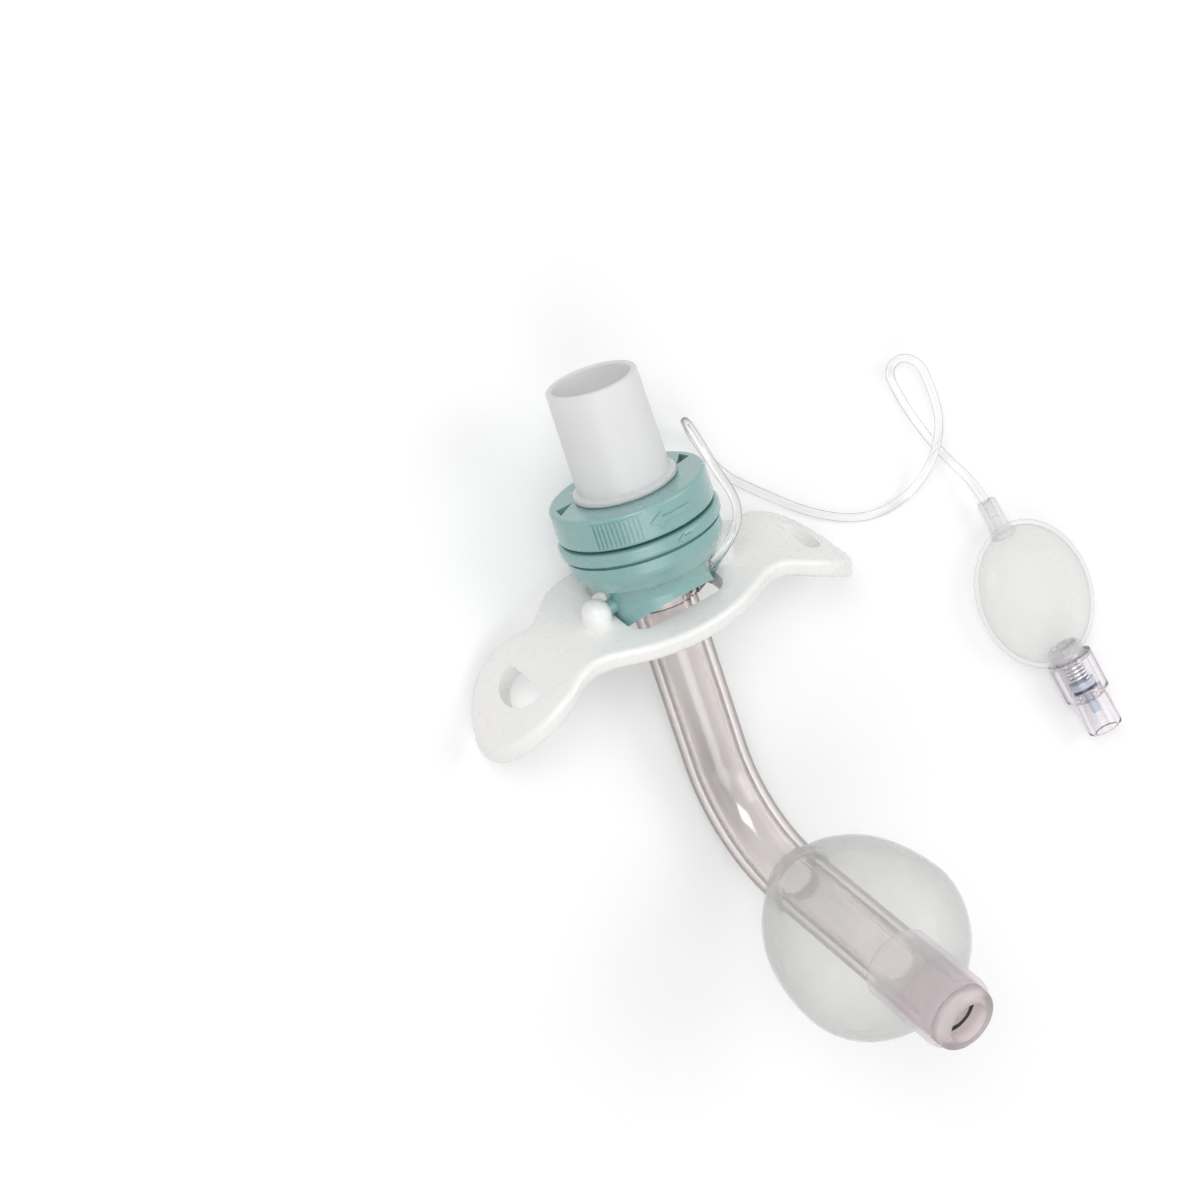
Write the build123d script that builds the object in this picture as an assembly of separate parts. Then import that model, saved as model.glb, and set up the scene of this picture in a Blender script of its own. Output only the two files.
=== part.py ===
from build123d import *
import os
from math import acos, atan2, cos, degrees, hypot, pi, radians, sin, sqrt, tan

# A cuffed tracheostomy tube of extended length, lying on its back on a table, in millimetres.
# The rigid pieces are modelled in the tube's own frame: +Y is the hub's axis, towards the
# connector, +X runs along the right wing of the flange and +Z is the side the tube bends to.
# They are then turned together about X until the flange's edge and the tube's back touch
# the table, and moved so that the origin is under the middle of the rigid pieces.

# Cannula: outer tube, its bend and its tip
cannula_radius = 5.5
cannula_wall = 1.3
proximal_length = 28.8
bend_radius = 20.7
bend_angle = 70.5
distal_length = 44.0
tip_bore_radius = 3.6
tip_lip = 2.0
tip_rounding = 1.2
head_radius = 6.2
head_bottom = 0.8
head_top = 8.4
head_flare_radius = 5.0
head_flare_height = 3.4

# Inner cannula
inner_radius = 3.9
inner_wall = 0.9
inner_tip_setback = 3.4
inner_cone_height = 4.2
inner_head_radius = 5.2
inner_head_height = 1.8

# Hub on the cannula: skirt, bowl, groove and collar
skirt_radius = 8.8
skirt_bottom = -1.0
skirt_arch_height = 4.2
bowl_edge_radius = 11.2
bowl_edge_level = 7.3
bowl_top_radius = 12.9
bowl_top_level = 10.4
groove_width = 0.5
groove_depth = 0.7
collar_radius = 13.5
collar_bottom = 12.6
collar_height = 2.3
collar_rounding = 0.7
hub_floor_level = 10.5
hub_floor_bore = 5.5
hub_socket_radius = 10.0
bayonet_depth = 1.3
bayonet_rim = 1.4
bayonet_height = 1.4

# Trunnions of the hub and the flange that tilts on them
pivot_level = 3.6
trunnion_radius = 1.25
trunnion_reach = 12.9
pivot_boss_radius = 2.5
pivot_boss_centre = 12.2
pivot_boss_inner = 9.5
pivot_boss_wall = 0.9

flange_tilt = 19.5
flange_drop = 1.6
flange_thickness = 3.2
flange_front_half = 12.8
flange_back_half = 13.8
flange_back_flat = 8.0
flange_neck_place = 21.0
flange_neck_half = 8.2
ear_centre = 26.6
ear_radius = 9.8
ear_start_angle = 100.0
curl_start = 13.1
curl_radius = 29.3
flange_edge_rounding = 0.9
opening_half_width = 9.3
opening_front = 7.2
opening_back = 9.6
opening_corner = 3.4
opening_relief = 1.8
slot_place = 29.9
slot_length = 9.6
slot_depth = 5.4
slot_rounding = 0.5

# Connector, with the 1 in 40 taper of its kind
connector_tip_radius = 7.55
connector_taper = 1 / 80
connector_length = 17.6
connector_bore_radius = 6.45
connector_neck_radius = 7.9
connector_foot_radius = 9.3
connector_foot_height = 1.2
connector_lip_radius = 8.6
connector_lip_height = 0.8
connector_funnel_height = 3.0

# Locking ring around the connector
ring_radius = 13.1
ring_height = 5.5
ring_wall = 1.7
ring_plate = 1.9
ring_rounding = 0.6
ring_skirt_wall = 1.3
lug_half_angle = 12.0
lug_height = 0.9
lug_reach = 0.9
lock_turn = 40.0
grip_ribs = 12
grip_start_angle = -59.0
grip_pitch = 3.2
grip_rib_width = 0.38
grip_rib_height = 0.28
window_inner = 8.9
window_outer = 11.9
window_half_angle = 11.0
window_angles = (88.0, -108.0)
mark_height = 0.3
ring_arrow_length = 7.4
ring_arrow_head = 2.6
ring_arrow_shaft = 0.8
ring_arrow_angle = -2.0
collar_arrow_length = 2.6
collar_arrow_head = 1.5

# Cuff on the distal tube, inflated, with a collar at each end
cuff_start = 1.2
cuff_length = 36.6
cuff_radius = 16.2
cuff_wall = 0.4
cuff_collar_wall = 0.55
cuff_collar_back = 0.8
cuff_sleeve_start = 26.3
cuff_sleeve_end = 41.6
cuff_sleeve_wall = 0.85
cuff_shoulder = 0.62

# Inflation line, its stub on the cannula, the pilot balloon and the valve
stub_angle = 58.0
stub_radius = 1.15
stub_start_level = 0.8
stub_rise = 36.0
stub_reach = 9.3
line_radius = 0.75

# Pilot balloon and valve, laid end to end on the table; lengths run from the balloon's neck
pilot_start = (67.4, 6.3)
pilot_turn = -85.1
neck_radius = 1.75
neck_depth = 3.0
neck_bore = 0.5
balloon_start = 4.6
balloon_end = 31.6
balloon_half_width = 11.2
balloon_half_height = 3.9
balloon_wall = 0.35
weld_width = 0.7
weld_thickness = 0.6
sleeve_radius = 3.1
spigot_radius = 2.4
spigot_start = 29.0
housing_start = 31.65
housing_end = 39.5
housing_radius = 4.05
housing_bore = 2.95
housing_floor = 0.9
air_way = 1.1
seat_start = 38.0
luer_end = 46.2
luer_radius = 3.15
luer_mouth_radius = 2.15
luer_taper = 3 / 100
luer_floor = 39.9
seat_bore = 1.3
plunger_head_radius = 2.3
plunger_head_length = 1.15
plunger_stem_radius = 0.8
plunger_stem_end = 42.4
seal_thickness = 0.55
spring_radius = 1.75
spring_wire = 0.22
spring_turns = 4.5
plunger_travel = 1.5
pillow_places = (0, 0.02, 0.08, 0.2, 0.35, 0.5, 0.65, 0.8, 0.92, 0.98, 1)
lead_length = 6.0

# Gaps between pieces
bond_gap = 0.05
pivot_gap = 0.05
running_gap = 0.3
turning_gap = 0.4

# Levels along the hub's axis that follow from the sizes above
collar_top = collar_bottom + collar_height
ring_bottom = collar_top + turning_gap
ring_top = ring_bottom + ring_height
ring_bore_radius = connector_neck_radius + turning_gap
ring_skirt_radius = ring_bore_radius + ring_skirt_wall
foot_bottom = hub_floor_level + 0.1
foot_top = foot_bottom + connector_foot_height
lip_bottom = ring_top + running_gap
lip_top = lip_bottom + connector_lip_height
connector_top = lip_top + connector_length
cannula_bore = cannula_radius - cannula_wall
inner_bore = inner_radius - inner_wall
bend = radians(bend_angle)


def turned(points, axis=Axis.Y):
    """A solid of revolution about the hub's axis from (radius, level) points."""
    return revolve(make_face(Polyline(*points, close=True)), axis)


def tube_path(end_trim=0.0, start=0.0):
    """The centreline: straight from the hub, round the bend, then straight to the tip."""
    corner = bend_point(0)
    first = Line((0, start, 0), corner)
    round_bend = ThreePointArc(corner, bend_point(bend / 2), bend_point(bend))
    last = Line(round_bend @ 1, (round_bend @ 1) + (round_bend % 1) * (distal_length - end_trim))
    return first, round_bend, last


def bend_point(angle):
    """A point of the centreline's bend, so far round from its start."""
    return (0, -proximal_length - bend_radius * sin(angle), bend_radius * (1 - cos(angle)))


def tube_rod(radius, end_trim=0.0, start=0.0):
    """A round rod along the centreline, made of a cylinder, a bent rod and a cylinder."""
    first, round_bend, last = tube_path(end_trim, start)
    rod = extrude(Plane(origin=first @ 0, z_dir=first % 0) * Circle(radius), first.length)
    bent = sweep(Plane(origin=round_bend @ 0, z_dir=round_bend % 0) * Circle(radius), path=round_bend)
    far = extrude(Plane(origin=last @ 0, z_dir=last % 0) * Circle(radius), last.length)
    return rod + bent + far


def round_edges_at(body, centre):
    """The circular edges of a body that are centred on a point."""
    circles = body.edges().filter_by(GeomType.CIRCLE)
    return circles.filter_by(lambda edge: (edge.arc_center - Vector(centre)).length < 0.01)


def distal_plane(distance):
    """A plane square to the distal tube, so far from the end of the bend."""
    _, round_bend, last = tube_path()
    direction = last % 0
    return Plane(origin=(last @ 0) + direction * distance, x_dir=(1, 0, 0), z_dir=direction)


def make_outer_cannula():
    tube = tube_rod(cannula_radius, start=head_bottom + 1)
    tip = distal_plane(distal_length)
    tube = fillet(round_edges_at(tube, tip.origin), tip_rounding)
    head = turned([(0, head_bottom), (head_radius, head_bottom), (head_radius, head_top), (0, head_top)])
    stub_way = stub_plane()
    stub = extrude(stub_way * Circle(stub_radius), stub_length())
    body = tube + head + stub
    flare = turned([(0, head_top - head_flare_height), (cannula_bore, head_top - head_flare_height),
                    (head_flare_radius, head_top), (head_flare_radius, head_top + 1), (0, head_top + 1)])
    body -= tube_rod(cannula_bore, end_trim=tip_lip, start=head_top + 1)
    body -= flare
    body -= extrude(distal_plane(distal_length - tip_lip - 1) * Circle(tip_bore_radius), tip_lip + 2)
    return body


def stub_plane():
    """The plane that the stub of the inflation line starts from, looking along the stub."""
    around = radians(stub_angle)
    rise = radians(stub_rise)
    start = head_radius - 1.0
    outward = Vector(sin(around) * cos(rise), sin(rise), cos(around) * cos(rise))
    return Plane(origin=(start * sin(around), stub_start_level, start * cos(around)), z_dir=outward)


def stub_length():
    return (stub_reach - head_radius + 1.0) / cos(radians(stub_rise))


def make_inner_cannula():
    bottom = foot_bottom - inner_cone_height
    tube = tube_rod(inner_radius, end_trim=inner_tip_setback, start=bottom)
    cone = turned([(0, bottom), (inner_radius, bottom), (inner_head_radius, foot_bottom),
                   (inner_head_radius, foot_bottom + inner_head_height),
                   (0, foot_bottom + inner_head_height)])
    hollow = turned([(0, bottom), (inner_bore, bottom), (inner_head_radius - inner_wall, foot_bottom),
                     (inner_head_radius - inner_wall, foot_bottom + inner_head_height),
                     (0, foot_bottom + inner_head_height)])
    return tube + cone - hollow - tube_rod(inner_bore, end_trim=inner_tip_setback, start=bottom)


def make_hub():
    groove_bottom = collar_bottom - groove_width
    rim_bottom = collar_top - bayonet_rim
    outline = [
        Line((0, skirt_bottom), (skirt_radius, skirt_bottom)),
        Line((skirt_radius, skirt_bottom), (skirt_radius, pivot_level + 0.7)),
        Spline((skirt_radius, pivot_level + 0.7), (bowl_edge_radius, bowl_edge_level),
               tangents=[(0.2, 1), (1, 0.35)]),
        Spline((bowl_edge_radius, bowl_edge_level), (bowl_top_radius, bowl_top_level),
               tangents=[(0.35, 1), (0.15, 1)]),
        Line((bowl_top_radius, bowl_top_level), (bowl_top_radius, groove_bottom)),
        Line((bowl_top_radius, groove_bottom), (bowl_top_radius - groove_depth, groove_bottom)),
        Line((bowl_top_radius - groove_depth, groove_bottom), (bowl_top_radius - groove_depth, collar_bottom)),
        Line((bowl_top_radius - groove_depth, collar_bottom), (collar_radius, collar_bottom)),
        Line((collar_radius, collar_bottom), (collar_radius, collar_top)),
        Line((collar_radius, collar_top), (0, collar_top)),
        Line((0, collar_top), (0, skirt_bottom)),
    ]
    body = revolve(make_face(outline), Axis.Y)
    lip_edges = body.edges().filter_by(GeomType.CIRCLE).filter_by(
        lambda e: abs(e.radius - collar_radius) < 0.01)
    body = fillet(lip_edges, collar_rounding)
    socket = turned([(0, hub_floor_level), (hub_socket_radius, hub_floor_level),
                     (hub_socket_radius, rim_bottom - bayonet_height),
                     (hub_socket_radius + bayonet_depth, rim_bottom - bayonet_height),
                     (hub_socket_radius + bayonet_depth, rim_bottom),
                     (hub_socket_radius, rim_bottom), (hub_socket_radius, collar_top + 1), (0, collar_top + 1)])
    bore = turned([(0, skirt_bottom - 1), (head_radius + bond_gap, skirt_bottom - 1),
                   (head_radius + bond_gap, head_top + bond_gap), (hub_floor_bore, head_top + bond_gap),
                   (hub_floor_bore, hub_floor_level + 1), (0, hub_floor_level + 1)])
    body -= socket + bore
    arch = Pos(0, skirt_bottom) * Ellipse(skirt_radius - 0.05, skirt_arch_height)
    body -= extrude(arch, skirt_radius * 2, both=True)
    for angle in (lock_turn, lock_turn + 180):
        body -= sector(hub_socket_radius - 1, hub_socket_radius + bayonet_depth, rim_bottom - 0.5,
                       collar_top + 1, angle, lug_half_angle + 4)
    body -= extrude(stub_plane() * Circle(stub_radius + running_gap), stub_length() + 3)
    for side in (-1, 1):
        pin = Plane(origin=(side * (skirt_radius - 1.2), pivot_level, 0), z_dir=(side, 0, 0))
        body += extrude(pin * Circle(trunnion_radius), trunnion_reach - skirt_radius + 1.2)
    return body + arrow_mark(collar_radius - 0.1, collar_bottom + collar_height / 2, 2.0,
                             collar_arrow_length, collar_arrow_head, 0.5)


def sector(inner, outer, low, high, middle, half_angle):
    """A block between two radii and two levels, over a stretch of angle about the hub's axis."""
    ring = turned([(inner, low), (outer, low), (outer, high), (inner, high)])
    reach = outer * 2
    wedge = make_face(Polyline((0, 0), polar(reach, middle - half_angle), polar(reach, middle + half_angle),
                               close=True))
    level = Plane(origin=(0, low, 0), x_dir=(1, 0, 0), z_dir=(0, 1, 0))
    return ring & extrude(level * wedge, high - low)


def polar(radius, angle):
    """Plan coordinates on a level plane for an angle measured from +Z towards +X."""
    return (radius * sin(radians(angle)), -radius * cos(radians(angle)))


def arrow_mark(radius, level, angle, length, head, shaft):
    """A raised arrow wrapped on a round wall, pointing the way a closing turn goes."""
    outline = Polyline((-length / 2, 0), (-length / 2 + head * 0.8, head / 2), (-length / 2 + head * 0.8, shaft / 2),
                       (length / 2, shaft / 2), (length / 2, -shaft / 2), (-length / 2 + head * 0.8, -shaft / 2),
                       (-length / 2 + head * 0.8, -head / 2), close=True)
    around = radians(angle)
    facing = Plane(origin=(0, level, 0), x_dir=(cos(around), 0, -sin(around)), z_dir=(sin(around), 0, cos(around)))
    skin = turned([(radius, level - head), (radius + mark_height + 0.1, level - head),
                   (radius + mark_height + 0.1, level + head), (radius, level + head)])
    return skin & extrude(facing * make_face(outline), radius * 1.5)


def make_locking_ring():
    skirt_low = foot_top + turning_gap
    plate_low = ring_top - ring_plate
    body = turned([(ring_bore_radius, skirt_low), (ring_skirt_radius, skirt_low), (ring_skirt_radius, plate_low),
                   (ring_radius - ring_wall, plate_low), (ring_radius - ring_wall, ring_bottom),
                   (ring_radius, ring_bottom), (ring_radius, ring_top), (ring_bore_radius, ring_top)])
    outer_edges = body.edges().filter_by(GeomType.CIRCLE).filter_by(lambda e: abs(e.radius - ring_radius) < 0.01)
    body = fillet(outer_edges, ring_rounding)
    for angle in window_angles:
        corners = [polar(window_inner, angle - window_half_angle), polar(window_outer, angle - window_half_angle * 0.3),
                   polar(window_outer, angle + window_half_angle)]
        level = Plane(origin=(0, plate_low - 0.2, 0), x_dir=(1, 0, 0), z_dir=(0, 1, 0))
        body -= extrude(level * make_face(Polyline(*corners, close=True)), ring_plate + 1)
    lug_low = collar_top - bayonet_rim - bayonet_height + (bayonet_height - lug_height) / 2
    for angle in (0, 180):
        body += sector(ring_skirt_radius - 0.3, ring_skirt_radius + lug_reach + 0.1, lug_low, lug_low + lug_height,
                       angle, lug_half_angle)
    rib = Box(grip_rib_width, ring_height - 2 * ring_rounding - 0.2, grip_rib_height * 2)
    middle = (ring_bottom + ring_top) / 2
    for turn in (0, 180):
        for count in range(grip_ribs):
            angle = grip_start_angle + count * grip_pitch + turn
            body += Rot(0, angle, 0) * Pos(0, middle, ring_radius) * rib
        body += arrow_mark(ring_radius - 0.1, middle, ring_arrow_angle + turn, ring_arrow_length, ring_arrow_head,
                           ring_arrow_shaft)
    return body


def make_connector():
    root = connector_tip_radius + connector_length * connector_taper
    funnel = foot_top + inner_head_height - connector_foot_height
    outline = [(inner_head_radius + bond_gap, foot_bottom), (connector_foot_radius, foot_bottom),
               (connector_foot_radius, foot_top), (connector_neck_radius, foot_top),
               (connector_neck_radius, lip_bottom), (connector_lip_radius, lip_bottom),
               (connector_lip_radius, lip_top), (root, lip_top + 0.25), (connector_tip_radius, connector_top),
               (connector_bore_radius, connector_top), (connector_bore_radius, funnel + connector_funnel_height),
               (inner_head_radius + bond_gap, funnel)]
    body = turned(outline)
    return fillet(round_edges_at(body, (0, connector_top, 0)), 0.3)


def flange_frame():
    """The flange's own frame, at the pivot axis and turned by the tilt it is shown at."""
    return Pos(0, pivot_level, 0) * Rot(flange_tilt, 0, 0)


def flange_outline():
    """Half of the flange's plan, right of the middle, as joined curves from front to back."""
    start = radians(ear_start_angle)
    ear_front = (ear_centre + ear_radius * cos(start), ear_radius * sin(start))
    ear_back = (ear_front[0], -ear_front[1])
    leaving = (sin(start), -cos(start))
    front = Spline((0, flange_front_half), (flange_neck_place, flange_neck_half), ear_front,
                   tangents=[(1, 0), leaving])
    end = ThreePointArc(ear_front, (ear_centre + ear_radius, 0), ear_back)
    back = Spline(ear_back, (flange_neck_place, -flange_neck_half), (flange_back_flat, -flange_back_half),
                  tangents=[(-leaving[0], leaving[1]), (-1, 0)])
    flat = Line((flange_back_flat, -flange_back_half), (0, -flange_back_half))
    spine = Line((0, -flange_back_half), (0, flange_front_half))
    return make_face([front, end, back, flat, spine])


def curl_point(place, depth):
    """A point of the curled plate's side view, so far out, so deep under its top."""
    reach = place - curl_start
    if reach <= 0:
        return (place, -flange_drop - depth)
    angle = reach / curl_radius
    return (curl_start + (curl_radius - depth) * sin(angle),
            -flange_drop - curl_radius + (curl_radius - depth) * cos(angle))


def make_flange():
    level = Plane(origin=(0, 0, 0), x_dir=(1, 0, 0), z_dir=(0, 1, 0))
    tall = 60.0
    half_plan = extrude(level * Rot(180, 0, 0) * flange_outline(), tall, both=True)
    far_angle = curl_radius * 1.25
    top_mid, top_end = curl_point(curl_start + far_angle / 2, 0), curl_point(curl_start + far_angle, 0)
    low_mid = curl_point(curl_start + far_angle / 2, flange_thickness)
    low_end = curl_point(curl_start + far_angle, flange_thickness)
    top_start, low_start = curl_point(curl_start, 0), curl_point(curl_start, flange_thickness)
    strip = make_face([
        Line((0, -flange_drop), top_start),
        ThreePointArc(top_start, top_mid, top_end),
        Line(top_end, low_end),
        ThreePointArc(low_end, low_mid, low_start),
        Line(low_start, (0, -flange_drop - flange_thickness)),
        Line((0, -flange_drop - flange_thickness), (0, -flange_drop)),
    ])
    half = half_plan & extrude(strip, tall, both=True)
    plate = half + mirror(half, about=Plane.YZ)
    rims = plate.edges().filter_by(lambda edge: abs(edge.length - flange_thickness) > 0.6)
    plate = fillet(rims, flange_edge_rounding)
    for side in (-1, 1):
        dome = Plane(origin=(side * pivot_boss_centre, -flange_drop - 1, 0), z_dir=(0, 1, 0))
        plate += extrude(dome * Circle(pivot_boss_radius), flange_drop + 1)
        plate += Pos(side * pivot_boss_centre, 0, 0) * Sphere(pivot_boss_radius)
    plate -= flange_opening()
    for side in (-1, 1):
        inward = Plane(origin=(side * (pivot_boss_inner - 1), 0, 0), z_dir=(side, 0, 0))
        depth = trunnion_reach + running_gap - pivot_boss_inner + 1
        plate -= extrude(inward * Circle(trunnion_radius + pivot_gap), depth)
        plate -= tie_slot(side)
    return plate


def flange_opening():
    """The rounded opening for the tube, wider below so that the flange can tilt on it."""
    sections = []
    for depth, spread in ((-pivot_boss_radius - flange_drop, 0.0), (0.0, 0.0), (flange_thickness + 1, opening_relief)):
        front = opening_front + spread
        length = front + opening_back
        plane = Plane(origin=(0, -flange_drop - depth, (front - opening_back) / 2), x_dir=(1, 0, 0), z_dir=(0, -1, 0))
        sections.append(plane * RectangleRounded(2 * opening_half_width, length, opening_corner))
    return loft(sections[:2], ruled=True) + loft(sections[1:], ruled=True)


def tie_slot(side):
    """The D-shaped slot for the neck tape, square to the curled ear it goes through."""
    angle = (slot_place - curl_start) / curl_radius
    place = curl_point(slot_place, 0)
    outward = Vector(side * sin(angle), cos(angle), 0)
    along = Vector(side * cos(angle), -sin(angle), 0)
    plane = Plane(origin=(side * place[0], place[1], 0), x_dir=along, z_dir=outward)
    corner = slot_rounding * 2
    half = slot_length / 2
    flat_side = -slot_depth / 2
    outline = make_face([
        Line((flat_side, -half + corner), (flat_side, half - corner)),
        ThreePointArc((flat_side, half - corner), (flat_side + corner * 0.29, half - corner * 0.29),
                      (flat_side + corner, half)),
        ThreePointArc((flat_side + corner, half), (-flat_side, 0), (flat_side + corner, -half)),
        ThreePointArc((flat_side + corner, -half), (flat_side + corner * 0.29, -half + corner * 0.29),
                      (flat_side, -half + corner)),
    ])
    return extrude(plane * outline, flange_thickness * 1.6, both=True)


def make_cuff():
    """The inflated cuff, a thin turned shell with a bonded collar at each end."""
    middle = cuff_start + cuff_length / 2
    inside = cannula_radius + bond_gap
    collar = inside + cuff_collar_wall
    half_length = cuff_length / 2 / sqrt(1 - (collar / cuff_radius) ** 2)
    skin = Pos(middle, 0) * (Ellipse(half_length, cuff_radius)
                             - Ellipse(half_length - cuff_wall, cuff_radius - cuff_wall))
    skin &= Pos(middle, inside + cuff_radius / 2) * Rectangle(4 * half_length, cuff_radius)
    near = Pos(cuff_start, inside + cuff_collar_wall / 2) * Rectangle(2 * cuff_collar_back, cuff_collar_wall)
    sleeve_length = cuff_sleeve_end - cuff_sleeve_start
    far = Pos(cuff_sleeve_start + sleeve_length / 2, inside + cuff_sleeve_wall / 2) * Rectangle(
        sleeve_length, cuff_sleeve_wall)
    far_end = far.vertices().filter_by(lambda v: v.X > cuff_sleeve_end - 0.01 and v.Y > inside + 0.01)
    far = fillet(far_end, cuff_sleeve_wall * 0.8)
    profile = skin + near + far
    tip = distal_plane(0)
    along = Plane(origin=tip.origin, x_dir=tip.z_dir, z_dir=(1, 0, 0))
    turning = Axis(tip.origin, tip.z_dir)
    return revolve(along * profile, turning)


def outline_points(body):
    """The corners of a fine mesh of a body, which stand for its surface."""
    corners, _ = body.tessellate(0.02, 0.1)
    return [(corner.Y, corner.Z) for corner in corners]


def resting_tilt(front, back):
    """How far the tube is turned about X when the flange and the tube's back both touch."""
    def lowest(points, angle):
        return min(y * sin(angle) + z * cos(angle) for y, z in points)

    low, high = 0.0, pi / 4
    for _ in range(40):
        middle = (low + high) / 2
        if lowest(back, middle) > lowest(front, middle):
            low = middle
        else:
            high = middle
    return degrees(low)


def pilot_frame(height):
    """The place of the pilot balloon's chain on the table: +X runs along it from the neck."""
    return Pos(pilot_start[0], pilot_start[1], height) * Rot(0, 0, pilot_turn)


def rod_between(start, end, radius):
    """A round rod on the chain's axis between two lengths."""
    return extrude(Plane(origin=(start, 0, 0), z_dir=(1, 0, 0)) * Circle(radius), end - start)


def pillow(inset):
    """The balloon's inflated shape, or the space inside it, as sections lofted along the chain."""
    sections = []
    for part in pillow_places:
        fullness = sqrt(max(0.0, 4 * part * (1 - part)))
        end_radius = neck_radius + (sleeve_radius - neck_radius) * part
        half_width = end_radius + (balloon_half_width - end_radius) * fullness - inset
        half_height = end_radius + (balloon_half_height - end_radius) * fullness - inset
        along = balloon_start + (balloon_end - balloon_start) * part
        section = Plane(origin=(along, 0, 0), x_dir=(0, 1, 0), z_dir=(1, 0, 0))
        sections.append(section * Ellipse(half_width, half_height))
    return loft(sections)


def make_pilot_balloon():
    """A flat welded pillow, hollow, with a neck for the line and a sleeve for the valve."""
    middle = Pos((balloon_start + balloon_end) / 2, 0, 0)
    half_length = (balloon_end - balloon_start) / 2
    body = pillow(0)
    body += middle * extrude(Ellipse(half_length, balloon_half_width + weld_width), weld_thickness / 2, both=True)
    body += rod_between(0, balloon_start + 1, neck_radius)
    body -= pillow(balloon_wall)
    body -= rod_between(-1, neck_depth, line_radius + bond_gap)
    body -= rod_between(0, balloon_start + 1, neck_bore)
    return body - rod_between(spigot_start - 1, balloon_end + 1, spigot_radius + bond_gap)


def make_valve_housing():
    body = rod_between(spigot_start, housing_start + 1, spigot_radius)
    barrel = rod_between(housing_start, housing_end, housing_radius)
    ends = barrel.edges().filter_by(GeomType.CIRCLE).sort_by(Axis.X)
    barrel = chamfer(ends[-1], 0.7)
    body += barrel
    body -= rod_between(housing_start + housing_floor, housing_end + 1, housing_bore)
    return body - rod_between(spigot_start - 1, housing_end, air_way)


def make_valve_luer():
    """The female port, with the seat that the plunger closes and a plug inside the housing."""
    body = rod_between(seat_start, housing_end + bond_gap, housing_bore - bond_gap)
    barrel = rod_between(housing_end + bond_gap, luer_end, luer_radius)
    ends = barrel.edges().filter_by(GeomType.CIRCLE).sort_by(Axis.X)
    body += fillet(ends[-1], 0.6)
    depth = luer_end - luer_floor
    floor_radius = luer_mouth_radius - depth * luer_taper
    way = Plane(origin=(luer_floor, 0, 0), z_dir=(1, 0, 0))
    hollow = loft([way * Circle(floor_radius), way.offset(depth) * Circle(luer_mouth_radius)])
    return body - hollow - rod_between(seat_start - 1, luer_floor + 1, seat_bore)


def make_valve_plunger():
    head_end = seat_start - bond_gap - seal_thickness - bond_gap
    body = rod_between(head_end - plunger_head_length, head_end, plunger_head_radius)
    return body + rod_between(head_end - 0.1, plunger_stem_end, plunger_stem_radius)


def make_valve_seal():
    start = seat_start - bond_gap - seal_thickness
    ring = rod_between(start, start + seal_thickness, plunger_head_radius - 0.1)
    return ring - rod_between(start - 1, seat_start, plunger_stem_radius + bond_gap)


def make_valve_spring():
    """A small coil spring between the housing's floor and the plunger."""
    start = housing_start + housing_floor + spring_wire
    end = seat_start - 2 * bond_gap - seal_thickness - plunger_head_length - spring_wire
    coil = Helix(pitch=(end - start) / spring_turns, height=end - start, radius=spring_radius)
    wire = sweep(Plane(origin=coil @ 0, z_dir=coil % 0) * Circle(spring_wire), path=coil)
    return Pos(start, 0, 0) * Rot(0, 90, 0) * wire


# The inflation line's route on the table, as points chosen by eye, in millimetres
line_points = [
    (16.6, 28.6, 19.0), (17.3, 35.0, 14.5), (17.4, 41.0, 12.8), (19.5, 43.9, 6.75), (22.7, 39.1, 0.75),
    (24.4, 31.8, 0.75), (29.8, 25.8, 0.75), (37.0, 18.4, 0.75), (45.6, 13.2, 0.75), (54.0, 12.6, 0.75),
    (60.3, 16.2, 4.2), (64.5, 22.4, 6.0), (65.1, 29.5, 6.5), (65.0, 33.8, 6.3), (63.3, 35.7, 3.5),
    (61.6, 33.8, 0.75), (62.0, 28.5, 0.75), (63.2, 22.5, 0.75), (65.2, 16.5, 0.75),
]


def line_route(stub, neck):
    """The route's points and the largest radius that each corner's two runs leave room for."""
    leads = [stub, stub * Pos(0, 0, lead_length), neck * Pos(-lead_length, 0, 0), neck]
    ends = [lead.position for lead in leads]
    points = [*ends[:2], *[Vector(point) for point in line_points], *ends[2:]]
    radii = []
    for before, corner, after in zip(points, points[1:], points[2:]):
        arriving, leaving = corner - before, after - corner
        half_turn = radians(arriving.get_angle(leaving)) / 2
        radii.append(0.45 * min(arriving.length, leaving.length) / tan(half_turn))
    return points, radii


def make_line(stub, neck):
    points, radii = line_route(stub, neck)
    path = FilletPolyline(*points, radius=radii)
    tube = sweep(Plane(origin=path @ 0, z_dir=path % 0) * Circle(line_radius), path=path)
    length = path.length
    print("line length", round(length, 1), "volume over section", round(tube.volume / (pi * line_radius ** 2), 1))
    print("line radii", [round(radius, 1) for radius in radii])
    print("line points", [tuple(round(value, 2) for value in point) for point in points])
    return tube


def make_rigid_pieces():
    """The pieces of the tube itself, in the tube's own frame."""
    return {
        "outer_cannula": make_outer_cannula(),
        "inner_cannula": make_inner_cannula(),
        "cannula_hub": make_hub(),
        "locking_ring": make_locking_ring(),
        "connector_15mm": make_connector(),
        "neck_flange": flange_frame() * make_flange(),
        "cuff": make_cuff(),
    }


def make_valve_pieces():
    """The pilot balloon and its valve, on their own axis."""
    return {
        "pilot_balloon": make_pilot_balloon(),
        "valve_housing": make_valve_housing(),
        "valve_luer": make_valve_luer(),
        "valve_plunger": make_valve_plunger(),
        "valve_seal": make_valve_seal(),
        "valve_spring": make_valve_spring(),
    }


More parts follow.
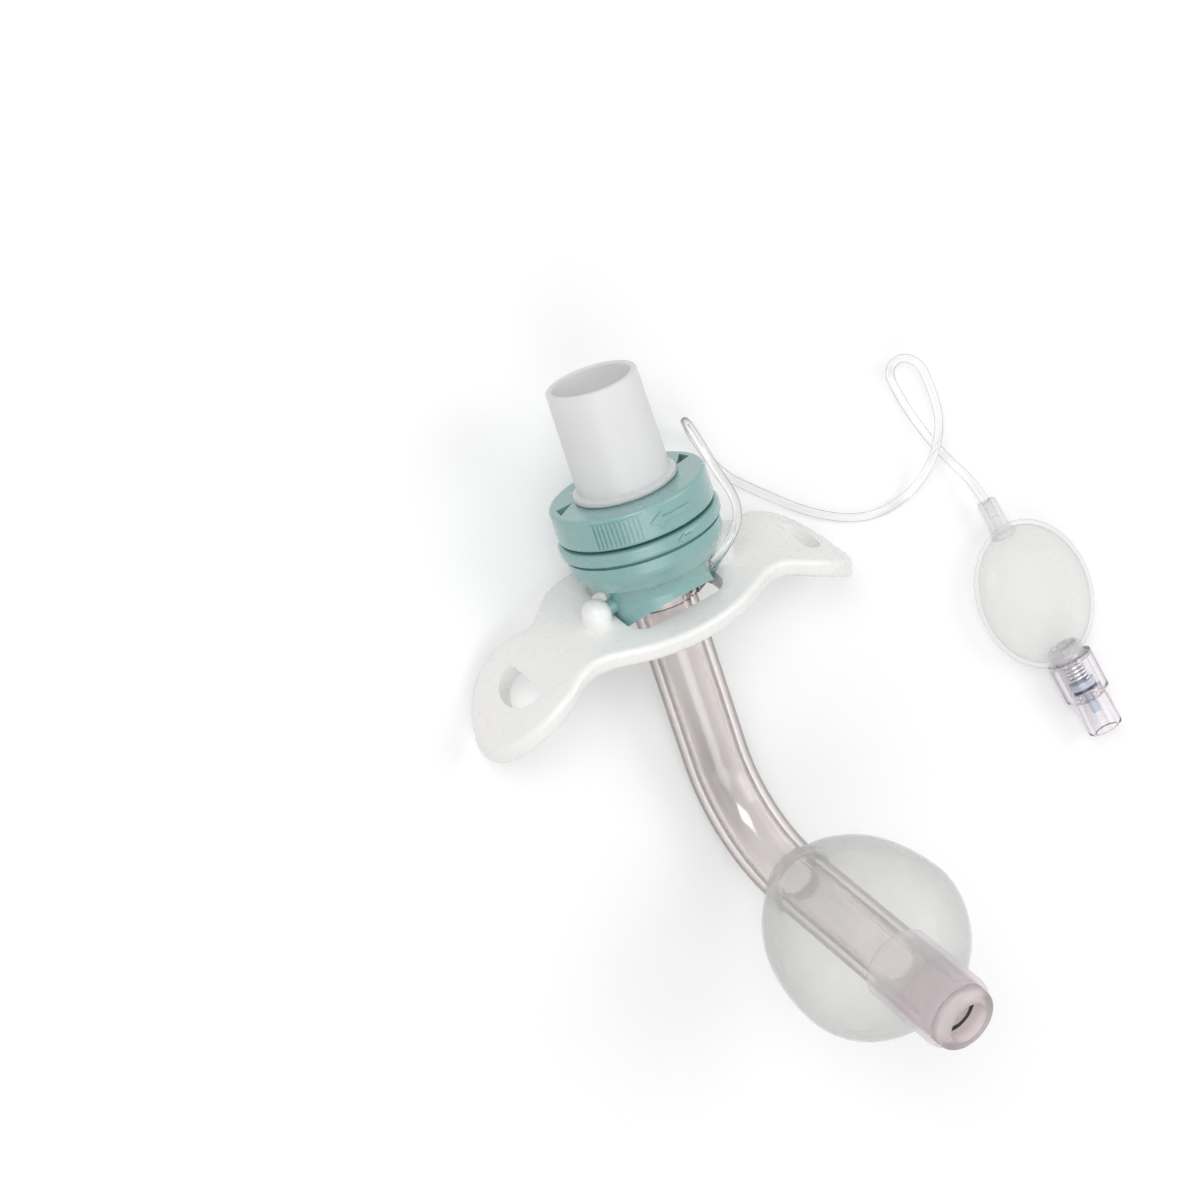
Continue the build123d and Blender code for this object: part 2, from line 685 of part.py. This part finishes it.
def table_place(pieces):
    """The turn and shift that lay the tube on the table, its box centred on the origin."""
    tilt = resting_tilt(outline_points(pieces["neck_flange"]), outline_points(pieces["outer_cannula"]))
    turn = Rot(tilt, 0, 0)
    boxes = [(turn * piece).bounding_box() for piece in pieces.values()]
    middle_y = (min(box.min.Y for box in boxes) + max(box.max.Y for box in boxes)) / 2
    print("resting tilt", round(tilt, 4))
    return Pos(0, -middle_y, -min(box.min.Z for box in boxes)) * turn


def main():
    os.makedirs("parts", exist_ok=True)
    rigid = make_rigid_pieces()
    place = table_place(rigid)
    pieces = {name: place * piece for name, piece in rigid.items()}
    chain = pilot_frame(housing_radius)
    for name, piece in make_valve_pieces().items():
        pieces[name] = chain * piece
    stub_end = place * stub_plane().location * Pos(0, 0, stub_length())
    pieces["inflation_line"] = make_line(stub_end, chain * Pos(neck_depth, 0, 0))
    mass, moment = 0, Vector(0, 0, 0)
    for name, piece in pieces.items():
        export_step(piece, f"parts/{name}.step")
        box = piece.bounding_box()
        print(name, len(piece.solids()), round(piece.volume, 1), piece.is_valid,
              [round(value, 1) for value in (*box.min, *box.max)])
        if name in rigid:
            mass, moment = mass + piece.volume, moment + piece.center(CenterOf.MASS) * piece.volume
    print("middle of the tube's volume", moment / mass)
    for label, spot in (("pivot", Pos(0, pivot_level, 0)), ("connector", Pos(0, connector_top, 0)),
                        ("tip", Pos(distal_plane(distal_length).origin)), ("ring", Pos(0, ring_bottom, 0))):
        print(label, (place * spot).position)
    print("tip axis", (place * Pos(distal_plane(distal_length).origin + distal_plane(0).z_dir)).position
          - (place * Pos(distal_plane(distal_length).origin)).position)


if __name__ == "__main__":
    main()
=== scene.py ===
import bpy
import bmesh
from math import pi, radians, sin, sqrt
from mathutils import Matrix, Vector, noise


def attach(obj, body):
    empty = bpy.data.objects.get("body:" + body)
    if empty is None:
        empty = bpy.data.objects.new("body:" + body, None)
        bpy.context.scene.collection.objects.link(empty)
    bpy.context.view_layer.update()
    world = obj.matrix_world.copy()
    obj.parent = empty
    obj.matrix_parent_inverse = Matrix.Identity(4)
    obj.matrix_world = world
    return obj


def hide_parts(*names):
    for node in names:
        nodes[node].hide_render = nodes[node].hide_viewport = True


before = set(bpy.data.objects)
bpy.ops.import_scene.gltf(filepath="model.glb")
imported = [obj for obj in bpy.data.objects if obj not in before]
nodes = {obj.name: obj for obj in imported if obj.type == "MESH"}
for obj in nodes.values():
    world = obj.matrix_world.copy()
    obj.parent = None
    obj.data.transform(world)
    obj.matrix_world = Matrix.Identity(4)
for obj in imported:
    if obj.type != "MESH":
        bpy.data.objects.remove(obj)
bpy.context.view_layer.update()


print("stage 1: frame loaded")

# how the tube and the balloon's chain lie on the table, in metres and degrees
lay = {
    "tilt": 13.7964,                       # how far the hub's axis rises from the table
    "shift": (0, 0.0191993, 0.0129652),
    "bendEnd": (0, -0.048312, 0.01379),
    "distalTurn": 19.5,
    "chainStart": (0.0674, 0.0063, 0.00405),
    "chainTurn": -85.1,
}

tubePlace = Matrix.Translation(lay["shift"]) @ Matrix.Rotation(radians(lay["tilt"]), 4, "X")
distalPlace = (tubePlace @ Matrix.Translation(lay["bendEnd"])
               @ Matrix.Rotation(radians(lay["distalTurn"]), 4, "X"))
chainPlace = Matrix.Translation(lay["chainStart"]) @ Matrix.Rotation(radians(lay["chainTurn"]), 4, "Z")

cameraSetup = {
    "place": (-0.21287, 0.09896, 0.48623),
    "turn": (2.763, -24.38, -26.896),
    "lens": 97.226,
    "sensor": 36,
    "near": 0.01,
}


def addCamera():
    data = bpy.data.cameras.new("photoCamera")
    data.lens = cameraSetup["lens"]
    data.sensor_width = cameraSetup["sensor"]
    data.clip_start = cameraSetup["near"]
    camera = bpy.data.objects.new("photoCamera", data)
    camera.location = cameraSetup["place"]
    camera.rotation_euler = [radians(value) for value in cameraSetup["turn"]]
    bpy.context.scene.collection.objects.link(camera)
    bpy.context.scene.camera = camera


lamps = {
    "key": {"place": (-0.5, 0.5, 1.1), "size": 0.6, "power": 5.0},
    "side": {"place": (0.7, -0.1, 1.0), "size": 0.7, "power": 3.0},
    "front": {"place": (-0.5, -0.6, 1.0), "size": 0.8, "power": 3.0},
}
worldLight = {"fill": 0.5, "shown": 1.0}


def addLamps():
    for name, lamp in lamps.items():
        data = bpy.data.lights.new(name, "AREA")
        data.shape = "SQUARE"
        data.size = lamp["size"]
        data.energy = lamp["power"]
        light = bpy.data.objects.new(name, data)
        light.location = lamp["place"]
        light.rotation_euler = (-Vector(lamp["place"])).to_track_quat("-Z", "Y").to_euler()
        bpy.context.scene.collection.objects.link(light)


# one for a ray from the camera, a mirror-like surface or clear plastic, and nought for the rest
def seenRays(tree):
    path = tree.nodes.new("ShaderNodeLightPath")
    first = tree.nodes.new("ShaderNodeMath")
    first.operation = "MAXIMUM"
    second = tree.nodes.new("ShaderNodeMath")
    second.operation = "MAXIMUM"
    tree.links.new(path.outputs["Is Camera Ray"], first.inputs[0])
    tree.links.new(path.outputs["Is Glossy Ray"], first.inputs[1])
    tree.links.new(first.outputs[0], second.inputs[0])
    tree.links.new(path.outputs["Is Transmission Ray"], second.inputs[1])
    return second.outputs[0]


def addWorld():
    world = bpy.data.worlds.new("studio")
    world.use_nodes = True
    tree = world.node_tree
    tree.nodes.clear()
    out = tree.nodes.new("ShaderNodeOutputWorld")
    mix = tree.nodes.new("ShaderNodeMixShader")
    tree.links.new(seenRays(tree), mix.inputs[0])
    for socket, strength in ((1, worldLight["fill"]), (2, worldLight["shown"])):
        white = tree.nodes.new("ShaderNodeBackground")
        white.inputs["Color"].default_value = (1, 1, 1, 1)
        white.inputs["Strength"].default_value = strength
        tree.links.new(white.outputs[0], mix.inputs[socket])
    tree.links.new(mix.outputs[0], out.inputs["Surface"])
    bpy.context.scene.world = world


table = {
    "size": 4,
    "level": -0.0002,
    "tone": 0.74,
    "glow": 0.28,         # lifts the table to white where it is seen
}


def addFloor():
    bm = bmesh.new()
    bmesh.ops.create_grid(bm, x_segments=1, y_segments=1, size=table["size"])
    mesh = bpy.data.meshes.new("floor")
    bm.to_mesh(mesh)
    bm.free()
    floor = bpy.data.objects.new("floor", mesh)
    floor.location.z = table["level"]
    bpy.context.scene.collection.objects.link(floor)
    material = bpy.data.materials.new("paleTable")
    material.use_nodes = True
    tree = material.node_tree
    tree.nodes.clear()
    out = tree.nodes.new("ShaderNodeOutputMaterial")
    add = tree.nodes.new("ShaderNodeAddShader")
    diffuse = tree.nodes.new("ShaderNodeBsdfDiffuse")
    diffuse.inputs["Color"].default_value = (table["tone"], table["tone"], table["tone"], 1)
    glow = tree.nodes.new("ShaderNodeEmission")
    scale = tree.nodes.new("ShaderNodeMath")
    scale.operation = "MULTIPLY"
    scale.inputs[1].default_value = table["glow"]
    tree.links.new(seenRays(tree), scale.inputs[0])
    tree.links.new(scale.outputs[0], glow.inputs["Strength"])
    tree.links.new(diffuse.outputs[0], add.inputs[0])
    tree.links.new(glow.outputs[0], add.inputs[1])
    tree.links.new(add.outputs[0], out.inputs["Surface"])
    mesh.materials.append(material)


addCamera()
addLamps()
addWorld()
addFloor()
bpy.context.scene.view_settings.view_transform = "Standard"
print("stage 2: camera, lamps and table")


# a material with only a Principled shader and its output
def newFinish(name):
    material = bpy.data.materials.new(name)
    material.use_nodes = True
    tree = material.node_tree
    tree.nodes.clear()
    out = tree.nodes.new("ShaderNodeOutputMaterial")
    shader = tree.nodes.new("ShaderNodeBsdfPrincipled")
    tree.links.new(shader.outputs[0], out.inputs["Surface"])
    return material, tree, shader, out


# noise on the piece's own coordinates
def addNoise(tree, scale, detail=3.0):
    where = tree.nodes.new("ShaderNodeTexCoord")
    pattern = tree.nodes.new("ShaderNodeTexNoise")
    pattern.inputs["Scale"].default_value = scale
    pattern.inputs["Detail"].default_value = detail
    tree.links.new(where.outputs["Object"], pattern.inputs["Vector"])
    return pattern.outputs["Fac"]


def addBump(tree, shader, height, distance, strength):
    bump = tree.nodes.new("ShaderNodeBump")
    bump.inputs["Distance"].default_value = distance
    bump.inputs["Strength"].default_value = strength
    tree.links.new(height, bump.inputs["Height"])
    tree.links.new(bump.outputs[0], shader.inputs["Normal"])


noiseSpan = (0.3, 0.7)         # where most of the noise's values lie


# maps noise onto a range of a shader's socket
def addSpread(tree, factor, low, high, socket):
    spread = tree.nodes.new("ShaderNodeMapRange")
    spread.inputs["From Min"].default_value = noiseSpan[0]
    spread.inputs["From Max"].default_value = noiseSpan[1]
    spread.inputs["To Min"].default_value = low
    spread.inputs["To Max"].default_value = high
    tree.links.new(factor, spread.inputs["Value"])
    tree.links.new(spread.outputs[0], socket)


# a colour that goes from one tone to another between two values of a factor
def addRamp(tree, factor, span, tones):
    ramp = tree.nodes.new("ShaderNodeValToRGB")
    for element, position, tone in zip(ramp.color_ramp.elements, span, tones):
        element.position = position
        element.color = (*tone, 1)
    tree.links.new(factor, ramp.inputs[0])
    return ramp.outputs[0]


mouldedFinishes = {
    "tealPlastic": {
        "tones": ((0.225, 0.42, 0.41), (0.25, 0.445, 0.435)), "rough": (0.2, 0.3),
        "under": 0.2, "radius": (0.0012, 0.002, 0.002), "grain": 2600, "depth": 0.00001, "coat": 0.6, "clear": 0.0},
    "frostedPlastic": {
        "tones": ((0.92, 0.92, 0.92), (0.95, 0.95, 0.95)), "rough": (0.32, 0.42),
        "under": 0.6, "radius": (0.004, 0.004, 0.004), "grain": 3400, "depth": 0.00003, "coat": 0.1, "clear": 0.15},
    "whiteFlange": {
        "tones": ((0.93, 0.92, 0.90), (0.955, 0.945, 0.925)), "rough": (0.24, 0.34),
        "under": 0.3, "radius": (0.002, 0.0018, 0.0016), "grain": 1800, "depth": 0.00001, "coat": 0.2, "clear": 0.0},
    "bluePlastic": {
        "tones": ((0.50, 0.58, 0.70), (0.56, 0.64, 0.75)), "rough": (0.3, 0.4),
        "under": 0.0, "radius": (0.001, 0.001, 0.001), "grain": 3000, "depth": 0.00002, "coat": 0.0, "clear": 0.0},
    "blackRubber": {
        "tones": ((0.02, 0.035, 0.06), (0.035, 0.05, 0.08)), "rough": (0.55, 0.7),
        "under": 0.0, "radius": (0.001, 0.001, 0.001), "grain": 3000, "depth": 0.00002, "coat": 0.0, "clear": 0.0},
}
mouldedSurface = {"drift": 90, "wear": 420, "grainDetail": 2.0, "grainStrength": 0.35, "coatRough": 0.25}


def makeMoulded(name):
    values = mouldedFinishes[name]
    surface = mouldedSurface
    material, tree, shader, _ = newFinish(name)
    tone = addRamp(tree, addNoise(tree, surface["drift"]), noiseSpan, values["tones"])
    tree.links.new(tone, shader.inputs["Base Color"])
    addSpread(tree, addNoise(tree, surface["wear"]), *values["rough"], shader.inputs["Roughness"])
    grain = addNoise(tree, values["grain"], surface["grainDetail"])
    addBump(tree, shader, grain, values["depth"], surface["grainStrength"])
    shader.inputs["Subsurface Weight"].default_value = values["under"]
    shader.inputs["Subsurface Radius"].default_value = values["radius"]
    shader.inputs["Subsurface Scale"].default_value = 1.0
    shader.inputs["Transmission Weight"].default_value = values["clear"]
    shader.inputs["Coat Weight"].default_value = values["coat"]
    shader.inputs["Coat Roughness"].default_value = surface["coatRough"]
    return material


# each rim tone is painted shade: the darker colour at edges that turn away from the eye stands in for the dark
# surroundings seen through the plastic
clearFinishes = {
    "clearTube": {
        "middle": (0.99, 0.97, 0.965), "rim": (0.13, 0.105, 0.10), "rough": (0.02, 0.06), "ior": 1.45,
        "tint": (0.93, 0.78, 0.76), "density": 80, "grain": 120, "depth": 0.00004},
    "innerTube": {
        "middle": (0.98, 0.975, 0.97), "rim": (0.80, 0.76, 0.74), "rough": (0.10, 0.18), "ior": 1.4,
        "tint": (0.80, 0.72, 0.70), "density": 30, "grain": 160, "depth": 0.00003},
    "lilacPlastic": {
        "middle": (0.98, 0.965, 0.98), "rim": (0.68, 0.62, 0.68), "rough": (0.08, 0.16), "ior": 1.42,
        "tint": (0.78, 0.68, 0.76), "density": 60, "grain": 500, "depth": 0.00003},
    "lineTube": {
        "middle": (0.99, 0.99, 0.985), "rim": (0.13, 0.13, 0.125), "rough": (0.02, 0.05), "ior": 1.45,
        "tint": (0.80, 0.79, 0.77), "density": 60, "grain": 200, "depth": 0.000005},
}
clearSurface = {"blend": 0.5, "rimSpan": (0.42, 0.68), "wear": 160, "grainDetail": 1.5, "grainStrength": 0.3}
tipFrost = {
    "axis": (0, -0.54897, 0.835842),      # the way the tube's end points on the table
    "from": 0.0665, "to": 0.0715,
    # the tip's rim is its painted dark edge, kept pale
    "middle": (0.97, 0.90, 0.92), "rim": (0.92, 0.80, 0.82), "rough": 0.35, "milk": 0.35,
}


# clear plastic's colour with a painted dark edge: darker where its surface turns away from the eye, standing in for
# the dark surroundings seen through the plastic
def addPaintedEdgeShade(tree, middle, rim):
    facing = tree.nodes.new("ShaderNodeLayerWeight")
    facing.inputs["Blend"].default_value = clearSurface["blend"]
    return addRamp(tree, facing.outputs["Facing"], clearSurface["rimSpan"], (middle, rim))


def makeClear(name):
    values = clearFinishes[name]
    surface = clearSurface
    material, tree, shader, out = newFinish(name)
    tree.links.new(addPaintedEdgeShade(tree, values["middle"], values["rim"]), shader.inputs["Base Color"])
    shader.inputs["Transmission Weight"].default_value = 1.0
    shader.inputs["IOR"].default_value = values["ior"]
    addSpread(tree, addNoise(tree, surface["wear"]), *values["rough"], shader.inputs["Roughness"])
    grain = addNoise(tree, values["grain"], surface["grainDetail"])
    addBump(tree, shader, grain, values["depth"], surface["grainStrength"])
    inside = tree.nodes.new("ShaderNodeVolumeAbsorption")
    inside.inputs["Color"].default_value = (*values["tint"], 1)
    inside.inputs["Density"].default_value = values["density"]
    tree.links.new(inside.outputs[0], out.inputs["Volume"])
    return material


# lets the tube's clear plastic turn milky and pink towards its end
def frostTip(material):
    tree = material.node_tree
    shader = next(node for node in tree.nodes if node.type == "BSDF_PRINCIPLED")
    where = tree.nodes.new("ShaderNodeTexCoord")
    along = tree.nodes.new("ShaderNodeVectorMath")
    along.operation = "DOT_PRODUCT"
    along.inputs[1].default_value = tipFrost["axis"]
    tree.links.new(where.outputs["Object"], along.inputs[0])
    near = tree.nodes.new("ShaderNodeMapRange")
    near.inputs["From Min"].default_value = tipFrost["from"]
    near.inputs["From Max"].default_value = tipFrost["to"]
    tree.links.new(along.outputs["Value"], near.inputs["Value"])
    colour = tree.nodes.new("ShaderNodeMix")
    colour.data_type = "RGBA"
    tree.links.new(near.outputs[0], colour.inputs["Factor"])
    tree.links.new(shader.inputs["Base Color"].links[0].from_socket, colour.inputs["A"])
    tree.links.new(addPaintedEdgeShade(tree, tipFrost["middle"], tipFrost["rim"]), colour.inputs["B"])
    tree.links.new(colour.outputs["Result"], shader.inputs["Base Color"])
    rough = tree.nodes.new("ShaderNodeMath")
    rough.operation = "MULTIPLY_ADD"
    rough.inputs[1].default_value = tipFrost["rough"]
    tree.links.new(near.outputs[0], rough.inputs[0])
    tree.links.new(shader.inputs["Roughness"].links[0].from_socket, rough.inputs[2])
    tree.links.new(rough.outputs[0], shader.inputs["Roughness"])
    milk = tree.nodes.new("ShaderNodeMapRange")
    milk.inputs["To Min"].default_value = 1.0
    milk.inputs["To Max"].default_value = 1 - tipFrost["milk"]
    tree.links.new(near.outputs[0], milk.inputs["Value"])
    tree.links.new(milk.outputs[0], shader.inputs["Transmission Weight"])


filmFinishes = {
    "cuffFilm": {
        "tones": ((0.76, 0.765, 0.75), (0.82, 0.825, 0.81)), "alpha": (0.10, 0.17), "edge": 0.42,
        "rough": (0.16, 0.26)},
    "balloonFilm": {
        "tones": ((0.82, 0.82, 0.80), (0.86, 0.86, 0.845)), "alpha": (0.20, 0.27), "edge": 0.3,
        "rough": (0.14, 0.22)},
    "weldFilm": {
        "tones": ((0.88, 0.885, 0.88), (0.93, 0.935, 0.93)), "alpha": (0.22, 0.3), "edge": 0.35,
        "rough": (0.16, 0.24)},
    "bondFilm": {
        "tones": ((0.97, 0.86, 0.90), (0.98, 0.90, 0.93)), "alpha": (0.16, 0.24), "edge": 0.4,
        "rough": (0.14, 0.22)},
}
filmSurface = {
    "drift": 60, "wear": 220, "crease": 130, "creaseDetail": 2.0, "creaseDepth": 0.0003, "creaseStrength": 0.25,
    "blend": 0.35, "patch": 110, "ior": 1.45,
}


# a thin milky film, denser where it turns away from the eye
def makeFilm(name):
    values = filmFinishes[name]
    surface = filmSurface
    material, tree, shader, _ = newFinish(name)
    tone = addRamp(tree, addNoise(tree, surface["drift"]), noiseSpan, values["tones"])
    tree.links.new(tone, shader.inputs["Base Color"])
    addSpread(tree, addNoise(tree, surface["wear"]), *values["rough"], shader.inputs["Roughness"])
    crease = addNoise(tree, surface["crease"], surface["creaseDetail"])
    addBump(tree, shader, crease, surface["creaseDepth"], surface["creaseStrength"])
    facing = tree.nodes.new("ShaderNodeLayerWeight")
    facing.inputs["Blend"].default_value = surface["blend"]
    thicker = tree.nodes.new("ShaderNodeMath")
    thicker.operation = "MULTIPLY"
    thicker.inputs[1].default_value = values["edge"]
    tree.links.new(facing.outputs["Facing"], thicker.inputs[0])
    both = tree.nodes.new("ShaderNodeMath")
    both.operation = "ADD"
    tree.links.new(thicker.outputs[0], both.inputs[0])
    addSpread(tree, addNoise(tree, surface["patch"]), *values["alpha"], both.inputs[1])
    tree.links.new(both.outputs[0], shader.inputs["Alpha"])
    shader.inputs["IOR"].default_value = surface["ior"]
    return material


steelFinish = {"tones": ((0.72, 0.72, 0.73), (0.82, 0.82, 0.83)), "drift": 900, "wear": 1500, "rough": (0.2, 0.34)}


def makeSteel():
    material, tree, shader, _ = newFinish("springSteel")
    shader.inputs["Metallic"].default_value = 1.0
    tone = addRamp(tree, addNoise(tree, steelFinish["drift"]), noiseSpan, steelFinish["tones"])
    tree.links.new(tone, shader.inputs["Base Color"])
    addSpread(tree, addNoise(tree, steelFinish["wear"]), *steelFinish["rough"], shader.inputs["Roughness"])
    return material


finishes = {name: makeMoulded(name) for name in mouldedFinishes}
finishes.update({name: makeClear(name) for name in clearFinishes})
finishes.update({name: makeFilm(name) for name in filmFinishes})
finishes["springSteel"] = makeSteel()
frostTip(finishes["clearTube"])

nodeFinishes = {
    "outer_cannula": "clearTube",
    "inner_cannula": "innerTube",
    "cannula_hub": "tealPlastic",
    "locking_ring": "tealPlastic",
    "connector_15mm": "frostedPlastic",
    "neck_flange": "whiteFlange",
    "cuff": "cuffFilm",
    "inflation_line": "lineTube",
    "pilot_balloon": "balloonFilm",
    "valve_housing": "lilacPlastic",
    "valve_luer": "lilacPlastic",
    "valve_plunger": "bluePlastic",
    "valve_seal": "blackRubber",
    "valve_spring": "springSteel",
}
for nodeName, finishName in nodeFinishes.items():
    for place in nodes[nodeName].material_slots:
        place.material = finishes[finishName]
print("stage 3: materials")


# turns a bmesh into a piece whose object sits at the origin and rides on the tube
def toPiece(bm, name, place, finishName):
    bmesh.ops.transform(bm, matrix=place, verts=bm.verts)
    mesh = bpy.data.meshes.new(name)
    bm.to_mesh(mesh)
    bm.free()
    mesh.materials.append(finishes[finishName])
    for face in mesh.polygons:
        face.use_smooth = True
    piece = bpy.data.objects.new(name, mesh)
    bpy.context.scene.collection.objects.link(piece)
    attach(piece, "tube")
    return piece


# a turned shape about Z from (radius, height) points in millimetres
def spun(profile, steps, closed=False):
    bm = bmesh.new()
    corners = [bm.verts.new((radius / 1000, 0, height / 1000)) for radius, height in profile]
    edges = [bm.edges.new(pair) for pair in zip(corners, corners[1:])]
    if closed:
        edges.append(bm.edges.new((corners[-1], corners[0])))
    bmesh.ops.spin(bm, geom=corners + edges, cent=(0, 0, 0), axis=(0, 0, 1), dvec=(0, 0, 0),
                   angle=2 * pi, steps=steps, use_merge=True)
    bmesh.ops.remove_doubles(bm, verts=bm.verts, dist=1e-7)
    bmesh.ops.recalc_face_normals(bm, faces=bm.faces)
    return bm


inflationLine = {
    "diameter": 0.0015,
    "length": 0.149,
    "route": [        # in millimetres on the table, from the stub to the balloon's neck
        (7.89, 21.69, 18.65), (12.0, 24.51, 21.99), (16.6, 28.6, 19.0), (17.3, 35.0, 14.5), (17.4, 41.0, 12.8),
        (19.5, 43.9, 6.75), (22.7, 39.1, 0.75), (24.4, 31.8, 0.75), (29.8, 25.8, 0.75), (37.0, 18.4, 0.75),
        (45.6, 13.2, 0.75), (54.0, 12.6, 0.75), (60.3, 16.2, 4.2), (64.5, 22.4, 6.0), (65.1, 29.5, 6.5),
        (65.0, 33.8, 6.3), (63.3, 35.7, 3.5), (61.6, 33.8, 0.75), (62.0, 28.5, 0.75), (63.2, 22.5, 0.75),
        (65.2, 16.5, 0.75), (67.14, 9.29, 4.05), (67.66, 3.31, 4.05),
    ],
}


def makeLine():
    curve = bpy.data.curves.new("inflationLine", "CURVE")
    curve.dimensions = "3D"
    curve.bevel_depth = inflationLine["diameter"] / 2
    curve.bevel_resolution = 5
    curve.resolution_u = 10
    curve.use_fill_caps = True
    spline = curve.splines.new("NURBS")
    route = inflationLine["route"]
    spline.points.add(len(route) - 1)
    for point, place in zip(spline.points, route):
        point.co = (*[value / 1000 for value in place], 1)
    spline.order_u = 3
    spline.use_endpoint_u = True
    curve.materials.append(finishes["lineTube"])
    line = bpy.data.objects.new("inflationLine", curve)
    bpy.context.scene.collection.objects.link(line)
    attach(line, "tube")
    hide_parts("inflation_line")
    return line


line = makeLine()
print("stage 4: inflation line")

# in millimetres along the tube's end part
cuffShape = {
    "start": 1.2, "length": 33.2, "wide": 19.6, "radius": 16.0, "collar": 6.1, "tuck": 0.8, "film": 0.25,
    "rings": 25, "steps": 112,
    "pleatReach": 5.5, "pleatDepth": 0.22, "pleatAround": 4.9, "pleatAlong": 42,
    "dents": 0.25, "dentScale": 55,
}


# the film's side view: a long half ellipse up to its widest place, then a shorter one
def cuffProfile():
    values = cuffShape
    rings = values["rings"]
    spread = 1 / sqrt(1 - (values["collar"] / values["radius"]) ** 2)
    profile = [(values["collar"], values["start"] - values["tuck"])]
    for side, length in ((-1, values["wide"]), (1, values["length"] - values["wide"])):
        for step in range(rings):
            part = 1 - step / (rings - 1) if side < 0 else (step + 1) / rings
            part = sin(part * pi / 2)
            radius = values["radius"] * sqrt(1 - (part / spread) ** 2)
            profile.append((radius, values["start"] + values["wide"] + side * part * length))
    return profile


def makeCuff():
    values = cuffShape
    bm = spun(cuffProfile(), values["steps"])
    for vert in bm.verts:
        radius = sqrt(vert.co.x ** 2 + vert.co.y ** 2)
        around = Vector((vert.co.x, vert.co.y, 0)).normalized()
        near = max(0.0, 1 - (radius * 1000 - values["collar"]) / values["pleatReach"])
        turn = around * values["pleatAround"] + Vector((0, 0, vert.co.z * values["pleatAlong"]))
        dent = noise.noise(vert.co * values["dentScale"]) * values["dents"]
        pleat = noise.noise(turn) * values["pleatDepth"] * near * (1 - near) * 4
        vert.co -= around * (abs(dent) * (1 - near) + (pleat + abs(pleat)) / 2) / 1000
    bmesh.ops.solidify(bm, geom=bm.faces, thickness=values["film"] / 1000)
    return toPiece(bm, "cuffFilm", distalPlace, "cuffFilm")


bondShape = {
    "near": [(5.56, 0.0), (6.0, 0.1), (6.1, 0.4), (6.1, 1.3), (5.95, 2.0), (5.56, 2.1)],
    "far": [(5.56, 26.3), (6.0, 26.3), (6.35, 26.8), (6.4, 28.0), (6.4, 40.6), (6.25, 41.3), (5.9, 41.6),
            (5.56, 41.6)],
}


def makeBonds():
    for name, profile in bondShape.items():
        toPiece(spun(profile, 72, closed=True), name + "Bond", distalPlace, "bondFilm")


cuffPiece = makeCuff()
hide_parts("cuff")
makeBonds()
print("stage 5: cuff")

# in millimetres along the balloon's chain, from the end of the line
balloonShape = {
    "start": 5.6, "end": 31.6, "seam": 0.4, "halfWidth": 10.9, "halfHeight": 3.6,
    "shoulder": 2.4, "roundness": 0.62, "puckerAround": 26 / 7, "puckerDepth": 0.64,
    "weld": [(-0.25, 0), (0, 0.32), (0.3, 0.22), (0.65, 0.22), (0.85, 0), (0.65, -0.22), (0.3, -0.22), (0, -0.32)],
}
balloonMiddle = (balloonShape["start"] + balloonShape["end"]) / 2
balloonHalfLength = (balloonShape["end"] - balloonShape["start"]) / 2 - balloonShape["seam"]


def makeBalloonFilm():
    values = balloonShape
    bm = bmesh.new()
    bmesh.ops.create_uvsphere(bm, u_segments=120, v_segments=56, radius=1)
    for vert in bm.verts:
        out = min(1.0, sqrt(vert.co.x ** 2 + vert.co.y ** 2))
        side = 1 if vert.co.z > 0 else -1
        crown = (1 - out ** values["shoulder"]) ** values["roundness"]
        around = Vector((vert.co.x, vert.co.y, 0))
        pucker = noise.noise(around.normalized() * values["puckerAround"] if out > 0 else around)
        lift = values["halfHeight"] * crown + values["puckerDepth"] * pucker * out ** 3 * (1 - out)
        vert.co = Vector((balloonMiddle + vert.co.x * balloonHalfLength, vert.co.y * values["halfWidth"],
                          side * (abs(lift) if out < 0.999 else 0))) / 1000
    bmesh.ops.recalc_face_normals(bm, faces=bm.faces)
    return toPiece(bm, "balloonFilm", chainPlace, "balloonFilm")


# the welded rim, turned as a round ring and then drawn out to the balloon's outline
def makeBalloonWeld():
    values = balloonShape
    ringRadius = 10
    bm = spun([(ringRadius + out, height) for out, height in values["weld"]], 120, closed=True)
    for vert in bm.verts:
        radius = sqrt(vert.co.x ** 2 + vert.co.y ** 2)
        out = radius * 1000 - ringRadius
        vert.co.x = (balloonMiddle + vert.co.x / radius * (balloonHalfLength + out)) / 1000
        vert.co.y = vert.co.y / radius * (values["halfWidth"] + out) / 1000
    bmesh.ops.recalc_face_normals(bm, faces=bm.faces)
    return toPiece(bm, "balloonWeld", chainPlace, "weldFilm")


neckShape = {
    "neck": [(0.8, 0.0), (1.55, 0.0), (1.75, 0.25), (1.75, 4.4), (1.95, 5.6), (2.4, 6.8), (2.1, 7.0), (1.5, 5.9),
             (0.8, 5.0)],
    "sleeve": [(2.45, 29.0), (2.9, 29.4), (3.1, 30.2), (3.1, 31.6), (2.45, 31.6)],
}


def makeNecks():
    turn = Matrix.Rotation(radians(90), 4, "Y")         # the chain runs along its own X
    for name, profile in neckShape.items():
        toPiece(spun(profile, 48, closed=True), "balloon" + name.capitalize(), chainPlace @ turn, "weldFilm")


balloonPiece = makeBalloonFilm()
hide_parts("pilot_balloon")
makeBalloonWeld()
makeNecks()
print("stage 6: pilot balloon")
